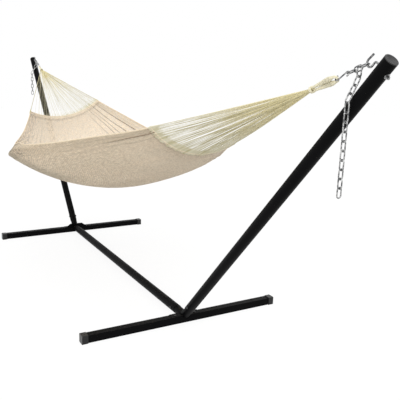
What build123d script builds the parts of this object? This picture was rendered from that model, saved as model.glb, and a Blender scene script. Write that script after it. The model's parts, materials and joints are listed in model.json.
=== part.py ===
from build123d import *
import math
import os

# A woven hammock hung by chains from a knock-down steel stand.
# +X runs along the hammock to the right-hand end, +Y to the back, +Z up from the floor.
# Driving dimensions, in millimetres and degrees.

clearance = 0.3

# Feet: square tubes across the stand, with plastic caps that stand on the floor
foot_spread = 1910
foot_side = 40
foot_wall = 1.6
foot_length = 1160
cap_wall = 2.5
cap_cover = 28
cap_end = 4
cap_corner = 3

# Bottom beam, elbows and sloping uprights: round tubes that slide together
tube_diameter = 50
tube_wall = 1.8
elbow_wall = 2.5
elbow_bend = 60
elbow_beam_leg = 85
elbow_upright_leg = 65
elbow_insert = 75
upright_angle = 47.35
upright_length = 1837

# Saddles in the feet and brackets that hold the elbows there
elbow_sink = 6.8
bracket_thickness = 2
bracket_base_width = 172
bracket_top_width = 96
left_bracket_rise = 28
right_bracket_rise = 1
bracket_drop = 37
bracket_screw_offset = 60

# Screws, bolts and nuts
bolt_diameter = 8
bolt_head_diameter = 15
bolt_head_height = 3.2
bolt_head_round = 2.2
nut_across_flats = 13
nut_height = 6.5
joint_nut_height = 4
bolt_setback = 38
bolt_tail = 1

# Plastic plugs in the tops of the uprights
plug_length = 22
plug_lip = 3
plug_lip_round = 2
plug_rim = 4.5
plug_dish = 4

# Open hooks through the uprights: a shank, a bend, a round turn and a prong
hook_rod = 7.5
hook_radius = 13.5
hook_neck_radius = 9
hook_reach = 56.5
hook_drop = 20
hook_setback = 43
hook_prong = 26
hook_prong_lean = 7
hook_thread_tail = 4
washer_diameter = 20
washer_thickness = 1.6

# Chain: straight links
wire = 5.0
link_inner_length = 32
link_play = 0.4
link_side_play = 1.0
swing_play = 0.9
right_dip = 19.8
left_dip = 23.5
fixed_links = 2
tail_gap = 7
slanted_links = 3
right_hanging_links = 10
left_hanging_links = 6

# S-hooks and the rope loops at the hammock's ends
s_wire = 5.5
s_bend = 8.6
s_length = 64
s_tip_turn = 200
hook_roll = 25
loop_roll = 45
hook_play = 0.9
rope = 9.8
loop_bend = 10.5
right_loop_leg = 108
left_loop_leg = 45
loop_throat = 7
wrap_gap = 0.7
wrap_diameter = 27
wrap_length = 24

# End strings
string_diameter = 2.0
string_gap = 1.4
string_layers = 4
string_layer_step = 3.6
string_start = 0.8
string_stop = 1.5

# Hammock bed: the height and width of its rims and of its lowest line (the keel)
bed_thickness = 4
bed_shift = -110
rim_half_length = 1079
keel_half_length = 1098
left_corner_half_width = 282
right_corner_half_width = 228
middle_half_width = 645
left_fullness = 1.15
right_fullness = 1.47
corner_height = 1012
rim_sag = 232
rim_sag_power = 2.66
keel_end_height = 926
keel_sag = 390
keel_sag_power = 1.73
rim_skew = 141
keel_skew = 130
left_end_lean = 0.163
right_end_lean = -0.217
back_rim_lift = 61
back_lift_peak = 2 / 3
bed_stations = 11

# Sizes that follow from the driving ones
foot_x = foot_spread / 2
cap_lift = cap_wall + clearance
foot_top = cap_lift + foot_side
tube_radius = tube_diameter / 2
elbow_radius = tube_radius - tube_wall - clearance / 2
saddle_radius = elbow_radius + clearance
beam_z = foot_top - elbow_sink
up_tube = Vector(1, 0, 0).rotate(Axis.Y, -upright_angle)
out_of_tube = Vector(1, 0, 0).rotate(Axis.Y, -upright_angle - 90)
elbow_corner = Vector(foot_x, 0, beam_z)
tube_top = elbow_corner + up_tube * upright_length
hook_seat = tube_top - up_tube * hook_setback
hook_centre = hook_seat + out_of_tube * hook_reach - up_tube * hook_drop
across = Vector(0, 1, 0)
down = Vector(0, 0, -1)
link_inner_width = 2 * (wire + link_side_play + clearance)
crown_radius = (link_inner_width + wire) / 2
link_span = link_inner_length + wire
link_step = link_span - wire - link_play


def cross_plane(origin, direction):
    """A plane across a direction, with its local axes along and across the stand."""
    level = across.cross(direction)
    x_dir = level if level.length > clearance else Vector(1, 0, 0)
    return Plane(origin=origin, x_dir=x_dir, z_dir=direction)


def along_plane(origin, direction, sideways):
    """A plane whose local X runs along a direction and whose local Y runs sideways."""
    return Plane(origin=origin, x_dir=direction, z_dir=direction.cross(sideways))


def rod(start, end, radius):
    run = end - start
    return extrude(cross_plane(start, run) * Circle(radius), amount=run.length)


def tube(start, end, radius, wall):
    run = end - start
    ring = Circle(radius) - Circle(radius - wall)
    return extrude(cross_plane(start, run) * ring, amount=run.length)


def swept(path, start, direction, profile):
    return sweep(cross_plane(start, direction) * profile, path=path)


def mirrored(shape):
    return mirror(shape, about=Plane.YZ)


def hexagon_nut(seat, direction, height):
    flats = RegularPolygon(nut_across_flats / 2, 6, major_radius=False)
    hole = Circle(bolt_diameter / 2 + clearance / 2)
    return extrude(cross_plane(seat, direction) * (flats - hole), amount=height)


def button_bolt(seat, direction, grip):
    """A bolt whose domed head sits on a seat and whose shank runs in a direction."""
    head = extrude(cross_plane(seat, direction * -1) * Circle(bolt_head_diameter / 2), amount=bolt_head_height)
    crown = head.edges().sort_by(Axis(seat, direction))[0]
    dome = fillet(crown, bolt_head_round)
    return dome + rod(seat, seat + direction * grip, bolt_diameter / 2)


def bolt_hole(centre, direction, reach):
    radius = (bolt_diameter + clearance) / 2
    return rod(centre - direction * reach, centre + direction * reach, radius)


# Feet, in the right-hand end's place; the left-hand end is their mirror image

def foot():
    centre_z = cap_lift + foot_side / 2
    start = Vector(foot_x, -foot_length / 2, centre_z)
    profile = Rectangle(foot_side, foot_side) - Rectangle(foot_side - 2 * foot_wall, foot_side - 2 * foot_wall)
    body = extrude(cross_plane(start, across) * profile, amount=foot_length)
    for y in (-bracket_screw_offset, bracket_screw_offset):
        body -= bolt_hole(Vector(foot_x, y, foot_top), down, foot_wall * 2)
    drop_in_slot = Pos(foot_x, 0, beam_z + tube_radius) * Box(2 * foot_side, 2 * saddle_radius, tube_diameter)
    return body - elbow_room() - drop_in_slot


def foot_cap(side):
    """A cap over the end of the foot on the front (-1) or back (+1) side."""
    outward = across * side
    outer = foot_side + 2 * cap_lift
    centre = Vector(foot_x, side * foot_length / 2, cap_lift + foot_side / 2)
    mouth = centre - outward * cap_cover
    block = extrude(cross_plane(mouth, outward) * RectangleRounded(outer, outer, cap_corner),
                    amount=cap_cover + cap_end)
    room = foot_side + 2 * clearance
    return block - extrude(cross_plane(mouth, outward) * Rectangle(room, room), amount=cap_cover)


def elbow_path(extra):
    start = elbow_corner - Vector(elbow_beam_leg + extra, 0, 0)
    end = elbow_corner + up_tube * (elbow_upright_leg + extra)
    return FilletPolyline(start, elbow_corner, end, radius=elbow_bend), start


def elbow_room():
    path, start = elbow_path(0)
    return swept(path, start, Vector(1, 0, 0), Circle(saddle_radius))


def beam_bolt_place():
    return elbow_corner - Vector(elbow_beam_leg + bolt_setback, 0, 0)


def upright_bolt_place():
    return elbow_corner + up_tube * (elbow_upright_leg + bolt_setback)


def elbow():
    path, start = elbow_path(elbow_insert)
    ring = Circle(elbow_radius) - Circle(elbow_radius - elbow_wall)
    body = swept(path, start, Vector(1, 0, 0), ring)
    for place in (beam_bolt_place(), upright_bolt_place()):
        body -= bolt_hole(place, across, tube_diameter)
    return body


def foot_bracket(rise):
    """A gusset on the foot's inner face with a shelf on its top, notched round the elbow."""
    shelf = Pos(foot_x, 0, foot_top + bracket_thickness / 2) * Box(foot_side, bracket_base_width, bracket_thickness)
    gusset_top = foot_top + bracket_thickness + rise
    half_base = bracket_base_width / 2
    half_top = bracket_top_width / 2
    outline = Polyline((-half_base, foot_top - bracket_drop), (-half_base, foot_top + bracket_thickness),
                       (-half_top, gusset_top), (half_top, gusset_top),
                       (half_base, foot_top + bracket_thickness), (half_base, foot_top - bracket_drop),
                       close=True)
    inner_face = Plane(origin=(foot_x - foot_side / 2 - bracket_thickness, 0, 0), x_dir=across, z_dir=(1, 0, 0))
    gusset = extrude(inner_face * make_face(outline), amount=bracket_thickness)
    body = shelf + gusset - elbow_room()
    for y in (-bracket_screw_offset, bracket_screw_offset):
        body -= bolt_hole(Vector(foot_x, y, foot_top), down, bracket_thickness * 2)
    return body


def bracket_screw(y):
    grip = bracket_thickness + foot_wall + nut_height + bolt_tail
    return button_bolt(Vector(foot_x, y, foot_top + bracket_thickness), down, grip)


def bracket_nut(y):
    return hexagon_nut(Vector(foot_x, y, foot_top - foot_wall), down, nut_height)


def bottom_beam():
    half = foot_x - elbow_beam_leg
    body = tube(Vector(-half, 0, beam_z), Vector(half, 0, beam_z), tube_radius, tube_wall)
    hole = bolt_hole(beam_bolt_place(), across, tube_diameter)
    return body - hole - mirrored(hole)


def upright():
    start = elbow_corner + up_tube * elbow_upright_leg
    body = tube(start, tube_top, tube_radius, tube_wall)
    body -= bolt_hole(upright_bolt_place(), across, tube_diameter)
    hook_hole = (hook_rod + clearance) / 2
    return body - rod(hook_seat - out_of_tube * tube_diameter, hook_seat + out_of_tube * tube_diameter, hook_hole)


def joint_bolt(place):
    seat = place - across * (tube_radius + clearance)
    return button_bolt(seat, across, tube_diameter + 2 * clearance + joint_nut_height + bolt_tail)


def joint_nut(place):
    return hexagon_nut(place + across * (tube_radius + clearance), across, joint_nut_height)


def top_cap():
    """A plug in the upright's cut end, with a rounded lip and a dished face."""
    face_centre = tube_top + up_tube * plug_lip
    lip = rod(tube_top, face_centre, tube_radius)
    lip_edge = lip.edges().filter_by(GeomType.CIRCLE).sort_by(Axis(tube_top, up_tube))[-1]
    stem = rod(tube_top - up_tube * plug_length, tube_top, tube_radius - tube_wall - clearance)
    dish_half = tube_radius - plug_rim
    dish_radius = (dish_half ** 2 + plug_dish ** 2) / (2 * plug_dish)
    dish = Pos(face_centre + up_tube * (dish_radius - plug_dish)) * Sphere(dish_radius)
    return fillet(lip_edge, plug_lip_round) + stem - dish


# Hooks and chains, in the right-hand end's place

def hook():
    """A bolt through the upright that bends down, turns round and ends in a prong."""
    shank_end = Vector(-tube_radius - clearance - washer_thickness - nut_height - hook_thread_tail, 0)
    centre = Vector(hook_reach, hook_drop)
    inner_leg = hook_reach - hook_radius
    neck_start = Vector(inner_leg - hook_neck_radius, 0)
    neck_centre = neck_start + Vector(0, hook_neck_radius)

    def on_neck(angle):
        return neck_centre + Vector(hook_neck_radius, 0).rotate(Axis.Z, angle)

    def on_turn(angle):
        return centre + Vector(hook_radius, 0).rotate(Axis.Z, angle)

    prong_start = on_turn(-hook_prong_lean)
    prong_end = prong_start + Vector(0, -hook_prong).rotate(Axis.Z, -hook_prong_lean)
    path = Wire([
        Line(shank_end, neck_start).edge(),
        ThreePointArc(neck_start, on_neck(-45), on_neck(0)).edge(),
        Line(on_neck(0), on_turn(180)).edge(),
        ThreePointArc(on_turn(180), on_turn(135), on_turn(90)).edge(),
        ThreePointArc(on_turn(90), on_turn(45), prong_start).edge(),
        Line(prong_start, prong_end).edge(),
    ])
    profile = Plane(origin=shank_end, z_dir=(1, 0, 0)) * Circle(hook_rod / 2)
    return along_plane(hook_seat, out_of_tube, up_tube * -1) * sweep(profile, path=path)


def hook_washer():
    seat = hook_seat - out_of_tube * (tube_radius + clearance)
    ring = Circle(washer_diameter / 2) - Circle((hook_rod + clearance) / 2)
    return extrude(cross_plane(seat, out_of_tube * -1) * ring, amount=washer_thickness)


def hook_nut():
    seat = hook_seat - out_of_tube * (tube_radius + clearance + washer_thickness)
    return hexagon_nut(seat, out_of_tube * -1, nut_height)


def stadium(length, radius):
    """A closed oval path along local X, starting in the middle of one straight side."""
    near = radius
    far = length - radius
    middle = length / 2
    return Wire([
        Line((middle, -radius), (far, -radius)).edge(),
        ThreePointArc((far, -radius), (length, 0), (far, radius)).edge(),
        Line((far, radius), (near, radius)).edge(),
        ThreePointArc((near, radius), (0, 0), (near, -radius)).edge(),
        Line((near, -radius), (middle, -radius)).edge(),
    ])


def chain_link(first_crown, direction, sideways):
    """A link whose first crown lies at a point and which runs on in a direction."""
    profile = Plane(origin=(link_span / 2, -crown_radius, 0), z_dir=(1, 0, 0)) * Circle(wire / 2)
    return along_plane(first_crown, direction, sideways) * sweep(profile, path=stadium(link_span, crown_radius))


def chain_run(hang, direction, sideways, count):
    """Links in a straight line from a crown they hang on, and the last link's far crown."""
    links = []
    for index in range(count):
        turned = sideways if index % 2 == 0 else direction.cross(sideways)
        first_crown = hang - direction * (wire + link_play)
        links.append(chain_link(first_crown, direction, turned))
        hang = first_crown + direction * link_span
    return links, hang


def s_hook(top, direction, sideways):
    """Two bends that open on opposite sides, joined by a slanting shank."""
    upper = Vector(s_bend, 0)
    lower = Vector(s_length - s_bend, 0)
    slant = math.degrees(math.acos(2 * s_bend / (lower.X - upper.X)))

    def upper_point(turn):
        return upper + Vector(s_bend, 0).rotate(Axis.Z, slant + turn)

    def lower_point(turn):
        return lower - Vector(s_bend, 0).rotate(Axis.Z, slant + turn)

    def bend(point, start, end):
        return ThreePointArc(point(start), point((start + end) / 2), point(end)).edge()

    half = s_tip_turn / 2
    path = Wire([
        bend(upper_point, s_tip_turn, half),
        bend(upper_point, half, 0),
        Line(upper_point(0), lower_point(0)).edge(),
        bend(lower_point, 0, half),
        bend(lower_point, half, s_tip_turn),
    ])
    start = path @ 0
    profile = Plane(origin=start, z_dir=path % 0) * Circle(s_wire / 2)
    return along_plane(top, direction, sideways) * sweep(profile, path=path)


def end_loop(top, direction, sideways, loop_leg):
    """A rope bight round the S-hook, whose legs draw together to the wrapping."""
    centre = Vector(loop_bend, 0)
    leg_end = centre + Vector(loop_leg, -loop_throat)
    reach = math.hypot(loop_leg, loop_throat)
    touch_angle = math.degrees(math.atan2(-loop_throat, loop_leg) - math.acos(loop_bend / reach))
    touch = centre + Vector(loop_bend, 0).rotate(Axis.Z, touch_angle)
    far_touch = Vector(touch.X, -touch.Y)
    path = Wire([
        Line(leg_end, touch).edge(),
        ThreePointArc(touch, (0, 0), far_touch).edge(),
        Line(far_touch, (leg_end.X, loop_throat)).edge(),
    ])
    profile = Plane(origin=leg_end, z_dir=touch - leg_end) * Circle(rope / 2)
    return along_plane(top, direction, sideways) * sweep(profile, path=path)


def end_strings(face_centre, direction, edge_middle, edge):
    """Strings that fan from layers on the wrapping's face to points spread along the bed's edge."""
    half_fan = (edge @ 0 - edge_middle).length
    shrink = (wrap_diameter / 2 - string_layer_step) / half_fan
    per_layer = int(edge.length * shrink / (string_diameter + string_gap))
    count = per_layer * string_layers
    strings = []
    for rank in range(count):
        share = (rank + 0.5) / count
        target = edge @ share
        spread = target - edge_middle
        spread = spread - direction * spread.dot(direction)
        layer = rank % string_layers - (string_layers - 1) / 2
        inward = direction.cross(edge % share).normalized()
        start = face_centre + spread * shrink + inward * (layer * string_layer_step)
        along = (target - start).normalized()
        strings.append(rod(start + along * string_start, target - along * string_stop, string_diameter / 2))
    return strings


def hanging_set(prefix, dip, hanging_links, loop_leg, edge):
    """The chain, its tail, the S-hook, the loop and the strings of one end, by node name."""
    pull = Vector(-1, 0, 0).rotate(Axis.Y, -dip)
    tilted = pull.cross(across)
    lengthways = Vector(1, 0, 0)
    ring_inside = hook_radius - hook_rod / 2
    hook_crown = hook_centre + pull * (ring_inside - wire / 2 - clearance)
    chain = [chain_link(hook_crown, pull, across)]

    # The first link's far crown holds the second link and the tail, side by side
    beside = (wire + link_side_play) / 2
    bend_centre = hook_crown + pull * (link_span - crown_radius)
    seat_depth = math.sqrt((crown_radius - wire - clearance) ** 2 - beside ** 2)
    second_crown = bend_centre + pull * seat_depth + across * beside
    chain.append(chain_link(second_crown, pull, tilted))
    links, swing_hang = chain_run(second_crown + pull * link_span, pull, across, fixed_links - 2)
    chain += links
    sideways = across if fixed_links % 2 == 0 else tilted
    swing_crown = swing_hang - pull * (wire + swing_play)
    pivot = (swing_hang + swing_crown) / 2
    end_link = chain_link(swing_crown, pull, sideways)

    # The tail's first link hangs beside the chain, the next slant to the front of the upright
    tail_y = -(tube_radius + crown_radius + wire / 2 + tail_gap)
    wire_depth = math.sqrt(crown_radius ** 2 - beside ** 2)
    tail_hang = bend_centre + pull * wire_depth - across * beside
    upper_tail, slant_hang = chain_run(tail_hang, down, lengthways, 1)
    slant_run = slanted_links * link_step - crown_radius
    lean = math.asin((slant_hang.Y - tail_y) / slant_run)
    slanting = Vector(0, -math.sin(lean), -math.cos(lean))
    links, slant_end = chain_run(slant_hang, slanting, slanting.cross(lengthways), slanted_links)
    upper_tail += links
    drop_hang = slant_end + (down - slanting) * crown_radius
    lower_tail, _ = chain_run(drop_hang, down, lengthways, hanging_links)

    s_top = swing_crown + pull * (link_span - (wire + s_wire) / 2 - hook_play)
    turned = sideways.cross(pull).rotate(Axis((0, 0, 0), pull), hook_roll)
    loop_top = s_top + pull * (s_length - (s_wire + rope) / 2 - hook_play)
    fan_middle = (edge @ 0 + edge @ 1) / 4 + (edge @ 0.5) / 2
    fan = (fan_middle - loop_top).normalized()
    loop_sideways = sideways.rotate(Axis((0, 0, 0), fan), loop_roll)
    wrap_start = loop_top + fan * (loop_bend + loop_leg + wrap_gap)
    wrap_end = wrap_start + fan * wrap_length
    print(prefix, "swing pivot", tuple(pivot), "tail pivot", tuple(drop_hang))
    return {
        prefix + "_chain_links": chain,
        prefix + "_tail_top": upper_tail,
        prefix + "_tail_end": lower_tail,
        prefix + "_end_link": [end_link],
        prefix + "_s_hook": [s_hook(s_top, pull, turned)],
        prefix + "_end_loop": [end_loop(loop_top, fan, loop_sideways, loop_leg)],
        prefix + "_end_wrap": [rod(wrap_start, wrap_end, wrap_diameter / 2)],
        prefix + "_strings": end_strings(wrap_end, fan, fan_middle, edge),
    }


# Hammock bed

def bed_section(place):
    """The front rim, keel and back rim points at a place from -1 (left end) to 1 (right end)."""
    fullness = 1 - place * place
    corner = left_corner_half_width if place < 0 else right_corner_half_width
    spread = fullness ** (left_fullness if place < 0 else right_fullness)
    half_width = corner + (middle_half_width - corner) * spread
    rim_z = corner_height - rim_sag * (1 - abs(place) ** rim_sag_power) + rim_skew * place * fullness
    keel_z = keel_end_height - keel_sag * (1 - abs(place) ** keel_sag_power) + keel_skew * place * fullness
    lean = left_end_lean * (1 - place) / 2 + right_end_lean * (1 + place) / 2
    to_left = max(-place, 0)
    highest = back_lift_peak ** 2 * (1 - back_lift_peak)
    back_lift = back_rim_lift * to_left ** 2 * (1 - to_left) / highest
    rim_x = bed_shift + rim_half_length * place
    front = Vector(rim_x, -half_width, rim_z - half_width * lean)
    back = Vector(rim_x, half_width, rim_z + half_width * lean + back_lift)
    keel = Vector(bed_shift + keel_half_length * place, 0, keel_z)
    return front, keel, back


def raised(points, depth):
    """An arc through three points, moved towards its own centre."""
    centre = ThreePointArc(*points).edge().arc_center
    return ThreePointArc(*(point + (centre - point).normalized() * depth for point in points)).edge()


def bed_profile(place):
    points = bed_section(place)
    outer = raised(points, 0)
    inner = raised(points, bed_thickness)
    sides = [Line(outer @ 1, inner @ 1).edge(), Line(outer @ 0, inner @ 0).edge()]
    return Face(Wire([outer, sides[0], inner, sides[1]]))


def hammock_bed():
    last = bed_stations - 1
    return loft([bed_profile(2 * index / last - 1) for index in range(bed_stations)])


def bed_edge(place):
    """The middle of the bed's end edge, in the right-hand end's place."""
    points = bed_section(place)
    if place < 0:
        points = [Vector(-point.X, point.Y, point.Z) for point in points]
    return raised(points, bed_thickness / 2)


def stand_end(bracket_rise):
    """The pieces of the stand at one end, in the right-hand end's place, by node name."""
    return {
        "foot": foot(),
        "foot_front_cap": foot_cap(-1),
        "foot_back_cap": foot_cap(1),
        "foot_bracket": foot_bracket(bracket_rise),
        "elbow": elbow(),
        "upright": upright(),
        "top_cap": top_cap(),
        "hook": hook(),
        "hook_washer": hook_washer(),
        "hook_nut": hook_nut(),
    }


def fastener_groups():
    screws = [bracket_screw(y) for y in (-bracket_screw_offset, bracket_screw_offset)]
    inner_nuts = [bracket_nut(y) for y in (-bracket_screw_offset, bracket_screw_offset)]
    bolts = [joint_bolt(beam_bolt_place()), joint_bolt(upright_bolt_place())]
    nuts = [joint_nut(beam_bolt_place()), joint_nut(upright_bolt_place())]
    groups = {"bracket_screws": screws, "bracket_nuts": inner_nuts, "joint_bolts": bolts, "joint_nuts": nuts}
    return {name: solids + [mirrored(solid) for solid in solids] for name, solids in groups.items()}


nodes = {"bottom_beam": [bottom_beam()], "hammock_bed": [hammock_bed()]}
for name, piece in stand_end(right_bracket_rise).items():
    nodes["right_" + name] = [piece]
for name, piece in stand_end(left_bracket_rise).items():
    nodes["left_" + name] = [mirrored(piece)]
nodes.update(fastener_groups())
nodes.update(hanging_set("right", right_dip, right_hanging_links, right_loop_leg, bed_edge(1)))
left_set = hanging_set("left", left_dip, left_hanging_links, left_loop_leg, bed_edge(-1))
for name, pieces in left_set.items():
    nodes[name] = [mirrored(piece) for piece in pieces]

os.makedirs("parts", exist_ok=True)
for name, pieces in nodes.items():
    solids = [solid for piece in pieces for solid in piece.solids()]
    export_step(Compound(solids), "parts/" + name + ".step")
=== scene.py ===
import bmesh
import bpy
import json
import math
import numpy as np
import random
from mathutils import Matrix, Vector, noise


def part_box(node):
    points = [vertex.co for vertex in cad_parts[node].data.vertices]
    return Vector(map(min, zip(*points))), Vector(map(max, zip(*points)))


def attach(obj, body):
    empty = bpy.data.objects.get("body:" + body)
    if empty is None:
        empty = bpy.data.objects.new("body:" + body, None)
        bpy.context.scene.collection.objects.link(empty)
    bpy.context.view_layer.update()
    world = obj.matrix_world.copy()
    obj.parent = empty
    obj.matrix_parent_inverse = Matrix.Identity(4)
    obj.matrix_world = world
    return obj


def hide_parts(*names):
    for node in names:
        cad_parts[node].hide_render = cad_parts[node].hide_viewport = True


# A woven hammock on a black steel stand, in metres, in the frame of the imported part.

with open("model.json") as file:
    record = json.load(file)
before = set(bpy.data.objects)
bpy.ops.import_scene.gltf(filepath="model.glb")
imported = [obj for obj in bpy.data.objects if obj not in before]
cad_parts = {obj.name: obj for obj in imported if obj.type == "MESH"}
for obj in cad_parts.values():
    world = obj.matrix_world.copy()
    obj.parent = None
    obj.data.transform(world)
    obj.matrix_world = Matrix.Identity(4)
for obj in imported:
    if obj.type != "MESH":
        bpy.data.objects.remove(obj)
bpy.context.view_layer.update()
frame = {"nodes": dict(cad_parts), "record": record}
nodes = frame["nodes"]
STRING_SEED = 7
draw = random.Random(STRING_SEED)

# Camera, at the photograph's angle
PHOTO_WIDTH_PX = 400
FOCAL_PX = 563.1
SENSOR_MM = 36
EYE = Vector((3.4435, -1.3873, 1.3364))
YAW_DEG = 149.64
PITCH_DEG = -12.95
ROLL_DEG = 2.06

# The bed's form, from its left end at -1 to its right end at 1
BED_SHIFT = -0.110
RIM_HALF_LENGTH = 1.079
KEEL_HALF_LENGTH = 1.098
LEFT_CORNER_HALF_WIDTH = 0.282
RIGHT_CORNER_HALF_WIDTH = 0.228
MIDDLE_HALF_WIDTH = 0.645
LEFT_FULLNESS = 1.15
RIGHT_FULLNESS = 1.47
CORNER_HEIGHT = 1.012
RIM_SAG = 0.232
RIM_SAG_POWER = 2.66
KEEL_END_HEIGHT = 0.926
KEEL_SAG = 0.390
KEEL_SAG_POWER = 1.73
RIM_SKEW = 0.141
KEEL_SKEW = 0.130
LEFT_END_LEAN = 0.163
RIGHT_END_LEAN = -0.217
BACK_RIM_LIFT = 0.061
BACK_LIFT_PEAK = 2 / 3
BED_THICKNESS = 0.004

# The lip where the taut front rim draws the cloth in and up
LIP_START = -0.85
LIP_MIDDLE = -0.3
LIP_STOP = 0.55
LIP_IN = 0.100
LIP_UP = 0.095
LIP_SHARE = 0.15
LIP_ROUND = 0.045

# The back corner of the right end, which the strings draw out
CORNER_START = 0.6
CORNER_SHARE = 0.1
CORNER_DRAW = Vector((0.030, 0.010, 0.006))

# The bed's cloth, as it was cut
CLOTH_WIDTH = 1.41
CLOTH_LENGTH = 2.41
CLOTH_THICKNESS = 0.003
HEM_LINE = 0.62
HEM_SHARE = 2 * HEM_LINE / CLOTH_WIDTH
END_BAND = 1.187
STEPS_ALONG = 120
STEPS_ACROSS = 360

# Folds: the counts are over half the arc, and the heights are in metres
LONG_FOLDS = 15.0
LONG_FOLD_DEPTH = 0.6
LONG_FOLD_SHARPNESS = 0.45
END_FOLDS = 34.0
END_FOLD_DEPTH = 0.5
END_FOLD_SHARPNESS = 0.6
FOLD_HEIGHT = 0.0045
BILLOW_HEIGHT = 0.006
CRUMPLE_HEIGHT = 0.0012

# Sharp pleats along the rims: the share of the arc, how far it wanders, and the depth
PLEAT_WIDTH = 0.014
PLEAT_WANDER = 0.012
BACK_PLEATS = ((HEM_SHARE, 1, 1.0), (0.775, 2, 0.9), (0.70, -1, 0.6), (0.64, -2, 0.7), (0.55, 1, 0.45))
FRONT_PLEATS = ((-HEM_SHARE, 1, 1.0), (-0.79, -2, 0.35))

# End strings, and the hitches that tie them over the bed's edge
STRING_COUNTS = {"left": 84, "right": 130}
STRING_GIRTHS = {"left": 0.75, "right": 1.0}
STRING_CROWDING = {"left": 0.6, "right": 1.0}
STRING_RADIUS = 0.0011
STRING_STEPS = 14
STRING_STRAY = 0.3
STRING_GIRTH_RANGE = (0.8, 1.15)
STRING_START_RANGE = (-0.002, 0.008)
STRING_SAG = 0.009
STRING_DRIFT = 0.003
STRING_TUCK = 0.9
EDGE_STRING_GIRTH = 2.0
HITCH_GIRTH = 2.4
HITCH_REACH = 0.022
HITCH_RANGE = (0.3, 1.0)

# The shade of each cord in a piece, from dark at 0 to light at 1
SHADE_MIDDLE = 0.55
SHADE_SPREAD = 0.9
SHADE_STEP = 0.37

# Laid cords along the rims and the bed's ends
RIM_STRAND_RADIUS = 0.0021
RIM_STRANDS_OUT = 1.15
RIM_STRANDS = 3
RIM_LAY = 0.042
RIM_STEPS_PER_LAY = 6
RIM_PLACES = 81
SELVAGE_STRAND_RADIUS = 0.0022
SELVAGE_STRANDS = 2
SELVAGE_LAY = 0.030
SELVAGE_STEP = 0.004
SELVAGE_PLACES = 61

# Wrappings, and the loops beyond them with rings of (strands, share of the radius)
WRAP_CORD_RADIUS = 0.0016
WRAP_LENGTH = 0.024
WRAP_RADIUS = 0.0135
WRAP_GAP = 0.0007
WRAP_TURNS = 4
WRAP_STEPS_PER_TURN = 18
THROAT_FILL = 0.8
LOOP_BEND = 0.0105
LOOP_LEGS = {"left": 0.045, "right": 0.108}
LOOP_THROAT = 0.007
LOOP_STRAND_RADIUS = 0.0014
LOOP_STRANDS_OUT = 0.0044
LOOP_SWELL = 0.0080
LOOP_SWELL_RUN = 0.030
LOOP_RINGS = ((1, 0.0), (6, 0.45), (14, 0.80))
LOOP_STEPS = 44
LOOP_TUCK = 0.7
LOOP_TWIST = 0.5

# Studio, with lamps of (name, direction, spread in degrees, strength)
SOFT_SKY = 0.5
FLOOR_HALF_SIZE = 14
FLOOR_DROP = 0.001
FLOOR_WHITE = 1.05
FLOOR_WHITE_SHARE = 0.86
LAMPS = (("overhead_light", (-0.25, -0.15, -1.0), 70, 1.35), ("front_light", (-0.55, 1.0, -0.55), 60, 1.6))


# Finishes

class Value:
    """A socket of a node graph; arithmetic on it adds Math nodes."""

    def __init__(self, graph, socket):
        self.graph = graph
        self.socket = socket

    def math(self, operation, *terms):
        return self.graph.node("ShaderNodeMath", {"operation": operation}, dict(enumerate(terms)))

    def __add__(self, other):
        return self.math("ADD", self, other)

    __radd__ = __add__

    def __sub__(self, other):
        return self.math("SUBTRACT", self, other)

    def __rsub__(self, other):
        return self.math("SUBTRACT", other, self)

    def __mul__(self, other):
        return self.math("MULTIPLY", self, other)

    __rmul__ = __mul__

    def __abs__(self):
        return self.math("ABSOLUTE", self)

    def fraction(self):
        return self.math("FRACT", self)

    def least(self, other):
        return self.math("MINIMUM", self, other)

    def most(self, other):
        return self.math("MAXIMUM", self, other)

    def rise(self, low, high):
        """0 below one value, 1 above another, and smooth between them."""
        return self.graph.node("ShaderNodeMapRange", {"interpolation_type": "SMOOTHSTEP"},
                               {0: self, 1: low, 2: high, 3: 0.0, 4: 1.0})


class Graph:
    """A node tree drawn up in Python."""

    def __init__(self, tree):
        self.tree = tree
        tree.nodes.clear()

    def node(self, kind, settings=None, inputs=None, output=0):
        made = self.tree.nodes.new(kind)
        for name, setting in (settings or {}).items():
            setattr(made, name, setting)
        for key, entry in (inputs or {}).items():
            if isinstance(entry, Value):
                self.tree.links.new(entry.socket, made.inputs[key])
            else:
                made.inputs[key].default_value = entry
        return Value(self, made.outputs[output] if made.outputs else None)

    def place(self):
        return self.node("ShaderNodeTexCoord", output="Object")

    def noise(self, scale, detail=2.0, roughness=0.5, vector=None):
        return self.node("ShaderNodeTexNoise", None, {"Vector": vector or self.place(), "Scale": scale,
                                                      "Detail": detail, "Roughness": roughness})

    def stretched(self, vector, x, y, z):
        return self.node("ShaderNodeMapping", None, {"Vector": vector, "Scale": (x, y, z)})

    def parts(self, vector):
        return [self.node("ShaderNodeSeparateXYZ", None, {0: vector}, output=axis) for axis in range(3)]

    def blend(self, first, second, share):
        return self.node("ShaderNodeMix", {"data_type": "RGBA"}, {0: share, 6: first, 7: second}, output=2)

    def upward(self):
        return self.parts(self.node("ShaderNodeNewGeometry", output="Normal"))[2]

    def attribute(self, name):
        return self.node("ShaderNodeAttribute", {"attribute_name": name}, output="Fac")

    def bump(self, height, strength, distance):
        return self.node("ShaderNodeBump", None,
                         {"Height": height, "Strength": strength, "Distance": distance})


def rgb(red, green, blue):
    return (red, green, blue, 1.0)


def finished(name, paint):
    """A material whose graph is painted by a function that returns the Principled inputs."""
    material = bpy.data.materials.new(name)
    material.use_nodes = True
    graph = Graph(material.node_tree)
    surface = graph.node("ShaderNodeBsdfPrincipled", None, paint(graph))
    graph.node("ShaderNodeOutputMaterial", None, {"Surface": surface})
    return material


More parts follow.
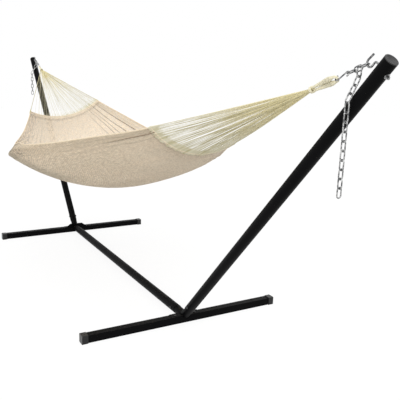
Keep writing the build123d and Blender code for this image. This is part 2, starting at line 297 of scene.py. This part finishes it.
def powder_coat(graph):
    tone = graph.noise(7.0, 4.0)
    peel = graph.noise(750.0, 2.0)
    scuffs = graph.noise(46.0, 7.0, 0.72).rise(0.64, 0.74)
    dust = graph.upward().rise(0.25, 0.95) * graph.noise(24.0, 6.0, 0.66).rise(0.35, 0.75)
    coat = graph.blend(rgb(0.0018, 0.0018, 0.0020), rgb(0.0038, 0.0038, 0.0042), tone)
    scuff_grey, dust_grey = rgb(0.018, 0.0175, 0.017), rgb(0.045, 0.043, 0.040)
    coat = graph.blend(coat, scuff_grey, scuffs * 0.35)
    coat = graph.blend(coat, dust_grey, dust * 0.12)
    return {"Base Color": coat, "Roughness": 0.36 + tone * 0.12 + dust * 0.2, "Specular IOR Level": 0.04,
            "Normal": graph.bump(peel, 0.12, 0.0005)}


def moulded_plastic(graph):
    tone = graph.noise(12.0, 4.0)
    grain = graph.noise(1400.0, 3.0, 0.7)
    dust = graph.upward().rise(0.3, 0.95) * graph.noise(40.0, 5.0, 0.65).rise(0.4, 0.75)
    skin = graph.blend(rgb(0.005, 0.005, 0.0053), rgb(0.009, 0.009, 0.0095), tone)
    dust_grey = rgb(0.06, 0.058, 0.054)
    skin = graph.blend(skin, dust_grey, dust * 0.2)
    return {"Base Color": skin, "Roughness": 0.3 + tone * 0.14, "Specular IOR Level": 0.35,
            "Normal": graph.bump(grain, 0.22, 0.0006)}


def black_fastener(graph):
    tone = graph.noise(90.0, 4.0)
    rubbed = graph.noise(260.0, 5.0, 0.7).rise(0.6, 0.75)
    skin = graph.blend(rgb(0.012, 0.012, 0.013), rgb(0.024, 0.024, 0.025), tone)
    bare_grey = rgb(0.11, 0.11, 0.11)
    return {"Base Color": graph.blend(skin, bare_grey, rubbed * 0.5), "Roughness": 0.3 + tone * 0.2,
            "Metallic": 0.4, "Normal": graph.bump(tone, 0.1, 0.0004)}


def zinc_plate(graph):
    # The cloud of dull and bright zinc and the darker patches are painted reflections of dark and light
    # surroundings.
    painted_reflection_cloud = graph.noise(110.0, 3.0, 0.55).rise(0.36, 0.62)
    grain = graph.noise(900.0, 2.0)
    painted_dark_reflection = graph.noise(190.0, 5.0, 0.7).rise(0.52, 0.66)
    dull, bright, dark_reflection_grey = rgb(0.10, 0.104, 0.108), rgb(0.46, 0.46, 0.455), rgb(0.045, 0.044, 0.042)
    plate = graph.blend(dull, bright, painted_reflection_cloud)
    plate = graph.blend(plate, dark_reflection_grey, painted_dark_reflection * 0.7)
    return {"Base Color": plate, "Metallic": 1.0, "Roughness": 0.2 + painted_reflection_cloud * 0.14 + painted_dark_reflection * 0.2,
            "Normal": graph.bump(grain, 0.1, 0.0004)}


def bed_weave(base, stain, mottling):
    """Fine cords that zigzag along the bed, with stains, open stitches, hems, and painted shade on the
    belly, under the selvage, in the gaps and in small holes.
    """

    def paint(graph):
        stitch_length = 0.026
        strand_pitch = 0.0062
        stray = 0.016
        hem_edge = 0.002
        bleached = rgb(0.86, 0.77, 0.61)
        hem_shadow = rgb(0.46, 0.37, 0.25)
        belly_shade_brown = rgb(0.26, 0.23, 0.155)
        band_peach = rgb(0.92, 0.78, 0.60)
        selvage_shadow_brown = rgb(0.34, 0.25, 0.14)
        gap_shade_brown = rgb(0.40, 0.30, 0.19)
        hole_shade_brown = rgb(0.12, 0.09, 0.06)
        fold_shadow = rgb(0.16, 0.10, 0.055)
        flat = graph.node("ShaderNodeUVMap", {"uv_map": "Weave"})
        along, over, _ = graph.parts(flat)
        wander = graph.noise(1.0, 3.0, 0.6, graph.stretched(flat, 9.0, 14.0, 1.0)) - 0.5
        swing = abs((along * (1 / stitch_length)).fraction() - 0.5) - 0.25
        lane = (over + wander * stray) * (0.5 / strand_pitch)
        near = abs((lane + swing).fraction() - 0.5)
        far = abs((lane - swing + 0.5).fraction() - 0.5)
        gap = near.least(far).rise(0.10, 0.27)
        yarn = graph.noise(1.0, 3.0, 0.6, graph.stretched(flat, 240.0, 900.0, 1.0))
        crumple = graph.noise(1.0, 3.0, 0.6, graph.stretched(flat, 52.0, 100.0, 1.0)).rise(0.38, 0.62)
        mottle = graph.noise(1.0, 6.0, 0.7, graph.stretched(flat, 19.0, 40.0, 1.0)).rise(0.44, 0.64)
        patches = graph.noise(1.0, 3.0, 0.5, graph.stretched(flat, 3.6, 5.5, 1.0)).rise(0.3, 0.7)
        loose = graph.noise(1.0, 4.0, 0.75, graph.stretched(flat, 34.0, 60.0, 1.0))
        left_end = (-1 * over).rise(0.5, 0.6) * (1 - along.rise(0.1, 0.35))
        # Dark specks of painted shade in small holes of the net, more of them on the front towards the left
        # end.
        hole_shade_specks = (loose + left_end * 0.12).rise(0.64, 0.70)
        front_hem = (-1 * over).rise(HEM_LINE - hem_edge, HEM_LINE + hem_edge) * along.rise(0.4, 0.9)
        hem = front_hem + over.rise(HEM_LINE - hem_edge, HEM_LINE + hem_edge)
        lip = (-1 * over).rise(0.57, 0.64) * (1 - along.rise(0.2, 0.8))
        # Painted shade on the front of the belly towards the left end, where the cloth curves under.
        under = over - along * 0.95 + 0.54
        belly = under.rise(-0.13, 0.02) * (1 - under.rise(0.35, 0.65)) * (-1 * over).rise(0.2, 0.4)
        end_band = abs(along).rise(END_BAND - 0.004, END_BAND)
        # Painted shadow in a band just inside each end, under the selvage.
        selvage_shadow = abs(along).rise(END_BAND - 0.03, END_BAND - 0.015) * (1 - end_band)
        cloth = graph.blend(base, bleached, patches * 0.4)
        cloth = graph.blend(cloth, stain, mottle * mottling * 0.5)
        cloth = graph.blend(cloth, stain, crumple * mottling * (1 - along.rise(0.6, 1.1) * 0.4))
        cloth = graph.blend(cloth, hem_shadow, hem * 0.3)
        cloth = graph.blend(cloth, stain, lip * mottling * 0.5)
        cloth = graph.blend(cloth, belly_shade_brown, belly * mottling * (0.55 + mottle * 0.45))
        cloth = graph.blend(cloth, band_peach, end_band * 0.7)
        cloth = graph.blend(cloth, selvage_shadow_brown, selvage_shadow * loose.rise(0.38, 0.6) * 0.6)
        # Painted shade in the gaps between the strands.
        cloth = graph.blend(cloth, gap_shade_brown, gap * mottling * 0.5)
        cloth = graph.blend(cloth, hole_shade_brown, hole_shade_specks * (0.25 + left_end * 1.1) * mottling)
        cloth = graph.blend(cloth, fold_shadow, graph.attribute("fold") * 0.95)
        open_stitch = gap.rise(0.4, 0.8) * loose.rise(0.46, 0.52)
        height = (1 - gap) + yarn * 0.25 + crumple * 2.0
        return {"Base Color": cloth, "Roughness": 0.86 + yarn * 0.1, "Specular IOR Level": 0.2,
                "Sheen Weight": 0.15, "Sheen Roughness": 0.5, "Alpha": 1 - open_stitch * 0.85,
                "Normal": graph.bump(height, 0.6, 0.0012)}

    return paint


def twisted_cord(turns, depth, light, dark, far_end):
    """Cord of yarns that wind round it a number of times, in a colour that changes towards its far end."""

    def paint(graph):
        along, around, _ = graph.parts(graph.node("ShaderNodeUVMap", {"uv_map": "UVMap"}))
        lay = abs((along * turns + around * 2.0).fraction() - 0.5)
        fibre = graph.noise(300.0, 3.0, 0.6)
        cord = graph.blend(light, far_end, along.rise(0.1, 0.8) * 0.85)
        cord = graph.blend(dark, cord, graph.attribute("shade"))
        # Darker colour in the grooves of the lay, painted shade between the yarns.
        groove_shade, fuzz = rgb(0.42, 0.35, 0.18), rgb(0.95, 0.93, 0.84)
        cord = graph.blend(cord, groove_shade, lay.rise(0.32, 0.5) * depth)
        cord = graph.blend(cord, fuzz, fibre.rise(0.5, 0.8) * 0.15)
        return {"Base Color": cord, "Roughness": 0.74 + fibre * 0.2, "Specular IOR Level": 0.25,
                "Sheen Weight": 0.15, "Sheen Roughness": 0.5,
                "Normal": graph.bump(0.5 - lay + fibre * 0.2, 2 * depth, 0.0005)}

    return paint


CREAM = rgb(0.85, 0.76, 0.45)
IVORY = rgb(0.84, 0.79, 0.60)
STRAW = rgb(0.50, 0.45, 0.25)
PALE = rgb(0.68, 0.65, 0.52)
BEIGE = rgb(0.82, 0.70, 0.53)
TAN = rgb(0.66, 0.54, 0.38)
PEACH = rgb(0.90, 0.77, 0.58)
FINISHES = {
    "black_steel": finished("black_powder_coat", powder_coat),
    "black_plastic": finished("black_moulded_plastic", moulded_plastic),
    "black_fasteners": finished("black_fastener", black_fastener),
    "zinc_steel": finished("bright_zinc", zinc_plate),
    "bed_cloth": finished("bed_inside", bed_weave(rgb(0.91, 0.78, 0.62), rgb(0.66, 0.53, 0.38), 0.3)),
    "cream_cord": finished("end_string", twisted_cord(170, 0.05, CREAM, STRAW, PALE)),
}
OUTSIDE_FINISH = finished("bed_outside", bed_weave(rgb(1.0, 0.86, 0.67), rgb(0.50, 0.39, 0.255), 0.66))
ROPE_FINISH = finished("loop_rope", twisted_cord(12, 0.05, IVORY, STRAW, IVORY))
RIM_FINISH = finished("rim_rope", twisted_cord(110, 0.2, BEIGE, TAN, BEIGE))
SELVAGE_FINISH = finished("end_selvage", twisted_cord(40, 0.15, PEACH, BEIGE, PEACH))


def give(piece, material):
    piece.data.materials.clear()
    piece.data.materials.append(material)


# The bed's surface

def ramp(value, low, high):
    """0 at one value, 1 at another, and smooth between them."""
    share = min(1.0, max(0.0, (value - low) / (high - low)))
    return share * share * (3 - 2 * share)


def bed_ribs(place):
    """The front rim, keel and back rim at a place along the bed."""
    fullness = max(0.0, 1 - place * place)
    corner = LEFT_CORNER_HALF_WIDTH if place < 0 else RIGHT_CORNER_HALF_WIDTH
    spread = fullness ** (LEFT_FULLNESS if place < 0 else RIGHT_FULLNESS)
    half_width = corner + (MIDDLE_HALF_WIDTH - corner) * spread
    rim_z = CORNER_HEIGHT - RIM_SAG * (1 - abs(place) ** RIM_SAG_POWER) + RIM_SKEW * place * fullness
    keel_z = KEEL_END_HEIGHT - KEEL_SAG * (1 - abs(place) ** KEEL_SAG_POWER) + KEEL_SKEW * place * fullness
    lean = LEFT_END_LEAN * (1 - place) / 2 + RIGHT_END_LEAN * (1 + place) / 2
    to_left = max(-place, 0.0)
    highest = BACK_LIFT_PEAK ** 2 * (1 - BACK_LIFT_PEAK)
    back_lift = BACK_RIM_LIFT * to_left ** 2 * (1 - to_left) / highest
    rim_x = BED_SHIFT + RIM_HALF_LENGTH * place
    front = Vector((rim_x, -half_width, rim_z - half_width * lean))
    back = Vector((rim_x, half_width, rim_z + half_width * lean + back_lift))
    return front, Vector((BED_SHIFT + KEEL_HALF_LENGTH * place, 0, keel_z)), back


class BedArc:
    """The arc across the bed at a place, from -1 at the front rim to 1 at the back rim."""

    def __init__(self, place):
        front, keel, back = bed_ribs(place)
        to_front = front - keel
        to_back = back - keel
        normal = to_front.cross(to_back)
        lever = to_front.length_squared * to_back - to_back.length_squared * to_front
        self.centre = keel + lever.cross(normal) / (2 * normal.length_squared)
        self.arm = front - self.centre
        self.side = self.arm.cross(normal).normalized() * self.arm.length
        end = back - self.centre
        self.turn = math.atan2(end.dot(self.side), end.dot(self.arm))
        self.lip = ramp(place, LIP_START, LIP_MIDDLE) * ramp(place, LIP_STOP, LIP_MIDDLE)
        self.drawn = ramp(place, CORNER_START, 1.0)

    def at(self, share, lift=BED_THICKNESS / 2):
        """The point at a share of the arc, lifted off its outer face towards the inside."""
        lip_room = LIP_SHARE / (1 - LIP_SHARE)
        reach = share * (1 + self.lip * lip_room) if share < 0 else share
        angle = self.turn * (max(reach, -1.0) + 1) / 2
        spoke = self.arm * math.cos(angle) + self.side * math.sin(angle)
        past = max(0.0, -reach - 1) / lip_room
        onward = self.side.normalized() * (-2 * LIP_ROUND * past * (1 - past))
        lip = Vector((0, LIP_IN, LIP_UP)) * past * past
        corner = CORNER_DRAW * (self.drawn * ramp(share, CORNER_SHARE, 1.0))
        return self.centre + spoke * (1 - lift / spoke.length) + onward + lip + corner


def pleats(place):
    """The sharp pleats along the rims at a place, as pairs of a share of the arc and a depth."""
    ripple = PLEAT_WANDER * noise.noise(Vector((place * 4.0, 0.0, 6.2)))
    towards_left = ramp(place, 0.55, 0.0)
    towards_right = ramp(place, 0.58, 0.85)
    for rows, strength in ((BACK_PLEATS, towards_left), (FRONT_PLEATS, towards_right)):
        for line, wander, depth in rows:
            yield line + ripple * wander, depth * strength


def bed_relief(place, share):
    """How far the cloth stands in from its plain arc, and how deep in a fold it lies."""
    rim = ramp(abs(share), 0.42, 0.95)
    end = ramp(abs(place), 0.78, 1.0)
    wander = 0.35 * noise.noise(Vector((place * 2.3, share * 2.0, 4.1)))
    strength = 0.5 + 0.8 * noise.noise(Vector((place * 1.7, share * 6.0, 9.3)))
    long_fold = 1 - abs(math.sin(math.pi * (LONG_FOLDS * share + wander))) ** LONG_FOLD_SHARPNESS
    end_fold = 1 - abs(math.sin(math.pi * (END_FOLDS * share + wander))) ** END_FOLD_SHARPNESS
    long_depth = LONG_FOLD_DEPTH * long_fold * rim * max(0.0, strength) * (1 - 0.4 * end)
    end_depth = end_fold * end * END_FOLD_DEPTH
    pleat = max(depth * (1 - ramp(abs(share - line), 0.0, PLEAT_WIDTH)) for line, depth in pleats(place))
    middle = 1 - ramp(abs(share), 0.6, 1.0)
    billow = noise.noise(Vector((place * 3.1, share * 2.2, 1.7))) * middle * (1 - end)
    crumple = noise.noise(Vector((place * 14.0, share * 9.0, 2.9))) * (1 - end)
    depth = max(long_depth, end_depth, pleat)
    return BILLOW_HEIGHT * billow + CRUMPLE_HEIGHT * crumple - FOLD_HEIGHT * depth, min(1.0, depth)


def hammock_bed():
    cloth = bmesh.new()
    weave = cloth.loops.layers.uv.new("Weave")
    fold = cloth.verts.layers.float.new("fold")
    bmesh.ops.create_grid(cloth, x_segments=STEPS_ALONG, y_segments=STEPS_ACROSS, size=1)
    for face in cloth.faces:
        for corner in face.loops:
            corner[weave].uv = (corner.vert.co.x * CLOTH_LENGTH / 2, corner.vert.co.y * CLOTH_WIDTH / 2)
    arcs = {}
    for vert in cloth.verts:
        place, share = vert.co.x, vert.co.y
        if place not in arcs:
            arcs[place] = BedArc(place)
        lift, vert[fold] = bed_relief(place, share)
        vert.co = arcs[place].at(share, BED_THICKNESS / 2 + lift)
    bmesh.ops.recalc_face_normals(cloth, faces=cloth.faces)
    bed = piece_from(cloth, "bed_cloth", FINISHES["bed_cloth"])
    thickness = bed.modifiers.new("thickness", "SOLIDIFY")
    thickness.thickness = CLOTH_THICKNESS
    thickness.offset = 0
    thickness.material_offset = 1
    bed.data.materials.append(OUTSIDE_FINISH)
    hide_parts("hammock_bed")
    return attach(bed, "hammock")


# Pieces

def show(mesh, name, material):
    piece = bpy.data.objects.new(name, mesh)
    bpy.context.scene.collection.objects.link(piece)
    give(piece, material)
    mesh.polygons.foreach_set("use_smooth", [True] * len(mesh.polygons))
    return piece


def piece_from(shape, name, material):
    mesh = bpy.data.meshes.new(name)
    shape.to_mesh(mesh)
    shape.free()
    return show(mesh, name, material)


def cords(name, lines, radius, material, roundness=1):
    """Cords along lines of (point, thickness) pairs, as one piece with a shade of its own for each cord."""
    curve = bpy.data.curves.new(name, "CURVE")
    curve.dimensions = "3D"
    curve.bevel_depth = radius
    curve.bevel_resolution = roundness
    curve.use_fill_caps = True
    for line in lines:
        spline = curve.splines.new("POLY")
        spline.points.add(len(line) - 1)
        for knot, (point, thickness) in zip(spline.points, line):
            knot.co = (*point, 1.0)
            knot.radius = thickness
    route = bpy.data.objects.new(name + "_route", curve)
    mesh = bpy.data.meshes.new_from_object(route)
    mesh.name = name
    bpy.data.objects.remove(route)
    bpy.data.curves.remove(curve)
    shades = [SHADE_MIDDLE + SHADE_SPREAD * noise.noise(Vector((index * SHADE_STEP, len(lines), 0.5)))
              for index in range(len(lines))]
    per_cord = len(mesh.vertices) // len(lines)
    layer = mesh.attributes.new("shade", "FLOAT", "POINT")
    layer.data.foreach_set("value", [shades[index // per_cord] for index in range(len(mesh.vertices))])
    return show(mesh, name, material)


def evenly(points, spacing):
    """The same line with its points a fixed distance apart."""
    lengths = np.cumsum([0.0] + [(b - a).length for a, b in zip(points, points[1:])])
    count = max(2, round(lengths[-1] / spacing) + 1)
    marks = np.linspace(0.0, lengths[-1], count)
    columns = [np.interp(marks, lengths, [point[axis] for point in points]) for axis in range(3)]
    return [Vector(point) for point in zip(*columns)]


def laid_strands(points, strands, offset, lay):
    """Strands that wind round a line, one turn for each length of lay."""
    lines = [[] for _ in range(strands)]
    travelled = 0.0
    for index, point in enumerate(points):
        before, after = points[max(index - 1, 0)], points[min(index + 1, len(points) - 1)]
        ahead = (after - before).normalized()
        level = ahead.cross(Vector((0, 0, 1))).normalized()
        upright = level.cross(ahead)
        if index:
            travelled += (point - points[index - 1]).length
        for strand, line in enumerate(lines):
            angle = 2 * math.pi * (travelled / lay + strand / strands)
            line.append((point + (level * math.cos(angle) + upright * math.sin(angle)) * offset, 1.0))
    return lines


class Gather:
    """Where the strings of one end come together: the wrapping and the loop beyond it."""

    def __init__(self, side, place):
        self.side = side
        self.edge = BedArc(place)
        self.hitch_line = BedArc(place * (1 - HITCH_REACH))
        corners = [self.edge.at(-1), self.edge.at(1)]
        self.middle = (corners[0] + corners[1]) / 4 + self.edge.at(0) / 2
        low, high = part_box(side + "_end_wrap")
        wrap_centre = (low + high) / 2
        self.fan = (self.middle - wrap_centre).normalized()
        self.throat = wrap_centre + self.fan * WRAP_LENGTH / 2
        self.wrap_start = wrap_centre - self.fan * WRAP_LENGTH / 2
        self.loop_leg = LOOP_LEGS[side]
        self.loop_top = self.wrap_start - self.fan * (LOOP_BEND + self.loop_leg + WRAP_GAP)
        points = np.array([vert.co for vert in nodes[side + "_end_loop"].data.vertices])
        width = Vector(np.linalg.eigh(np.cov(points.T))[1][:, 1])
        self.sideways = (width - self.fan * width.dot(self.fan)).normalized()
        self.half_fan = (corners[0] - self.middle).length

    def in_throat(self, target):
        """The place in the wrapping's face of a string that runs to a target."""
        spread = target - self.middle
        spread -= self.fan * spread.dot(self.fan)
        return self.throat + spread * (WRAP_RADIUS * THROAT_FILL / self.half_fan)


def end_strings(gather):
    """The fan of strings, each hitched a little way over the edge of the bed."""
    lines = []
    last = STRING_COUNTS[gather.side]
    for rank in range(last + 1):
        on_edge = rank in (0, last)
        spot = (rank + (0 if on_edge else draw.uniform(-STRING_STRAY, STRING_STRAY))) / last
        share = 2 * spot ** STRING_CROWDING[gather.side] - 1
        target = gather.edge.at(share)
        girth = EDGE_STRING_GIRTH
        if not on_edge:
            girth = draw.uniform(*STRING_GIRTH_RANGE) * STRING_GIRTHS[gather.side]
        inside = (gather.middle - target).normalized()
        start = gather.in_throat(target) + inside * draw.uniform(*STRING_START_RANGE)
        sag = 0.0 if on_edge else draw.uniform(0.0, STRING_SAG)
        drift = Vector([draw.uniform(-STRING_DRIFT, STRING_DRIFT) for _ in range(3)])
        line = [(start - gather.fan * WRAP_LENGTH * STRING_TUCK, girth)]
        for step in range(STRING_STEPS + 1):
            along = step / STRING_STEPS
            bow = math.sin(math.pi * along)
            point = start.lerp(target, along) + drift * bow - Vector((0, 0, sag)) * bow
            line.append((point, girth if step < STRING_STEPS else girth * HITCH_GIRTH))
        hitch_end = gather.hitch_line.at(share, -CLOTH_THICKNESS / 2)
        hitch = target.lerp(hitch_end, draw.uniform(*HITCH_RANGE))
        line.append((hitch, girth * HITCH_GIRTH))
        lines.append(line)
    strings = cords(gather.side + "_end_strings", lines, STRING_RADIUS, FINISHES["cream_cord"])
    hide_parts(gather.side + "_strings")
    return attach(strings, "hammock")


def rope_loop(gather):
    """A bight of many strings round the S-hook, swelling a little along its legs."""
    reach = LOOP_BEND + gather.loop_leg + WRAP_LENGTH * LOOP_TUCK
    leg = reach - LOOP_BEND
    turn = math.pi * LOOP_BEND
    total = 2 * leg + turn
    lift = gather.fan.cross(gather.sideways)
    lines = []
    for ring, (count, share) in enumerate(LOOP_RINGS):
        for strand in range(count):
            line = []
            for step in range(LOOP_STEPS + 1):
                run = total * step / LOOP_STEPS
                if run < leg:
                    swell = ramp(leg - run, 0.0, LOOP_SWELL_RUN)
                    x, y, outward = reach - run, -LOOP_BEND, Vector((0, -1))
                elif run > leg + turn:
                    swell = ramp(run - leg - turn, 0.0, LOOP_SWELL_RUN)
                    x, y, outward = LOOP_BEND + run - leg - turn, LOOP_BEND, Vector((0, 1))
                else:
                    swell = 0.0
                    angle = (run - leg) / LOOP_BEND
                    outward = Vector((-math.sin(angle), -math.cos(angle)))
                    x, y = LOOP_BEND + LOOP_BEND * outward.x, LOOP_BEND * outward.y
                leg_share = min(1.0, max(0.0, (x - LOOP_BEND) / gather.loop_leg))
                drawn_in = 1 - leg_share * (1 - LOOP_THROAT / LOOP_BEND)
                centre = gather.loop_top + gather.fan * x + gather.sideways * (y * drawn_in)
                out = gather.fan * outward.x + gather.sideways * outward.y
                angle = 2 * math.pi * (strand / count + LOOP_TWIST * run / total) + ring
                radius = share * (LOOP_STRANDS_OUT + LOOP_SWELL * swell * (1 - leg_share))
                line.append((centre + (out * math.cos(angle) + lift * math.sin(angle)) * radius, 1.0))
            lines.append(line)
    loop = cords(gather.side + "_rope_loop", lines, LOOP_STRAND_RADIUS, ROPE_FINISH)
    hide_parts(gather.side + "_end_loop")
    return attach(loop, "hammock")


def whipping(gather):
    """A few tight turns of cord round the middle of the throat."""
    lift = gather.fan.cross(gather.sideways)
    middle = gather.wrap_start + gather.fan * WRAP_LENGTH / 2
    line = []
    for step in range(WRAP_TURNS * WRAP_STEPS_PER_TURN + 1):
        turn = step / WRAP_STEPS_PER_TURN
        angle = 2 * math.pi * turn
        spoke = gather.sideways * math.cos(angle) + lift * math.sin(angle)
        along = (turn - WRAP_TURNS / 2) * 2 * WRAP_CORD_RADIUS
        line.append((middle + gather.fan * along + spoke * (WRAP_RADIUS - WRAP_CORD_RADIUS), 1.0))
    wrap = cords(gather.side + "_whipping", [line], WRAP_CORD_RADIUS, ROPE_FINISH, roundness=2)
    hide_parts(gather.side + "_end_wrap")
    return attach(wrap, "hammock")


def rim_cord(name, share):
    """A three-strand cord along one rim, from one corner to the other."""
    rim = evenly([BedArc(place).at(share) for place in np.linspace(-1, 1, RIM_PLACES)],
                 RIM_LAY / RIM_STEPS_PER_LAY)
    lines = laid_strands(rim, RIM_STRANDS, RIM_STRAND_RADIUS * RIM_STRANDS_OUT, RIM_LAY)
    cord = cords(name, lines, RIM_STRAND_RADIUS, RIM_FINISH)
    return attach(cord, "hammock")


def selvage(gather):
    """The doubled cord along the bed's end edge, which the strings are looped on."""
    edge = evenly([gather.edge.at(share) for share in np.linspace(-1, 1, SELVAGE_PLACES)], SELVAGE_STEP)
    lines = laid_strands(edge, SELVAGE_STRANDS, SELVAGE_STRAND_RADIUS, SELVAGE_LAY)
    cord = cords(gather.side + "_selvage", lines, SELVAGE_STRAND_RADIUS, SELVAGE_FINISH)
    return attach(cord, "hammock")


# The studio

def backdrop_share(graph):
    """1 for rays that should see the plain white backdrop: straight, mirrored or through glass."""
    seen = [graph.node("ShaderNodeLightPath", output=name)
            for name in ("Is Camera Ray", "Is Glossy Ray", "Is Transmission Ray")]
    return seen[0].most(seen[1]).most(seen[2])


def studio():
    scene = bpy.context.scene
    scene.view_settings.view_transform = "Standard"
    world = bpy.data.worlds.new("studio")
    scene.world = world
    world.use_nodes = True
    graph = Graph(world.node_tree)
    level = SOFT_SKY + backdrop_share(graph) * (1 - SOFT_SKY)
    sky = graph.node("ShaderNodeBackground", None, {"Color": rgb(1, 1, 1), "Strength": level})
    graph.node("ShaderNodeOutputWorld", None, {"Surface": sky})

    shape = bmesh.new()
    bmesh.ops.create_grid(shape, x_segments=1, y_segments=1, size=FLOOR_HALF_SIZE)
    bmesh.ops.translate(shape, verts=shape.verts, vec=(0, 0, -FLOOR_DROP))
    paper = bpy.data.materials.new("pale_floor")
    paper.use_nodes = True
    graph = Graph(paper.node_tree)
    matt = graph.node("ShaderNodeBsdfDiffuse", None, {"Color": rgb(0.8, 0.8, 0.8)})
    white = graph.node("ShaderNodeEmission", None, {"Strength": FLOOR_WHITE})
    seen_white = backdrop_share(graph) * FLOOR_WHITE_SHARE
    mixed = graph.node("ShaderNodeMixShader", None, {0: seen_white, 1: matt, 2: white})
    graph.node("ShaderNodeOutputMaterial", None, {"Surface": mixed})
    piece_from(shape, "floor", paper)

    for name, towards, spread_deg, strength in LAMPS:
        lamp = bpy.data.lights.new(name, "SUN")
        lamp.angle = math.radians(spread_deg)
        lamp.energy = strength
        holder = bpy.data.objects.new(name, lamp)
        holder.rotation_euler = Vector(towards).to_track_quat("-Z", "Y").to_euler()
        scene.collection.objects.link(holder)

    yaw, pitch, roll = (math.radians(angle) for angle in (YAW_DEG, PITCH_DEG, ROLL_DEG))
    ahead = Vector((math.cos(pitch) * math.cos(yaw), math.cos(pitch) * math.sin(yaw), math.sin(pitch)))
    level = ahead.cross(Vector((0, 0, 1))).normalized()
    upright = level.cross(ahead)
    right = level * math.cos(roll) + upright * math.sin(roll)
    top = upright * math.cos(roll) - level * math.sin(roll)
    lens = bpy.data.cameras.new("camera")
    lens.sensor_width = SENSOR_MM
    lens.lens = SENSOR_MM * FOCAL_PX / PHOTO_WIDTH_PX
    camera = bpy.data.objects.new("camera", lens)
    camera.matrix_world = Matrix.Translation(EYE) @ Matrix((right, top, -ahead)).transposed().to_4x4()
    scene.collection.objects.link(camera)
    scene.camera = camera


studio()
for part in frame["record"]["subparts"]:
    give(nodes[part["node"]], FINISHES[part["material_slot"]])
bed = hammock_bed()
ends = [Gather("left", -1), Gather("right", 1)]
trim = [rim_cord("front_rim_cord", -1), rim_cord("back_rim_cord", 1)]
for end in ends:
    end_strings(end)
    rope_loop(end)
    whipping(end)
    trim.append(selvage(end))
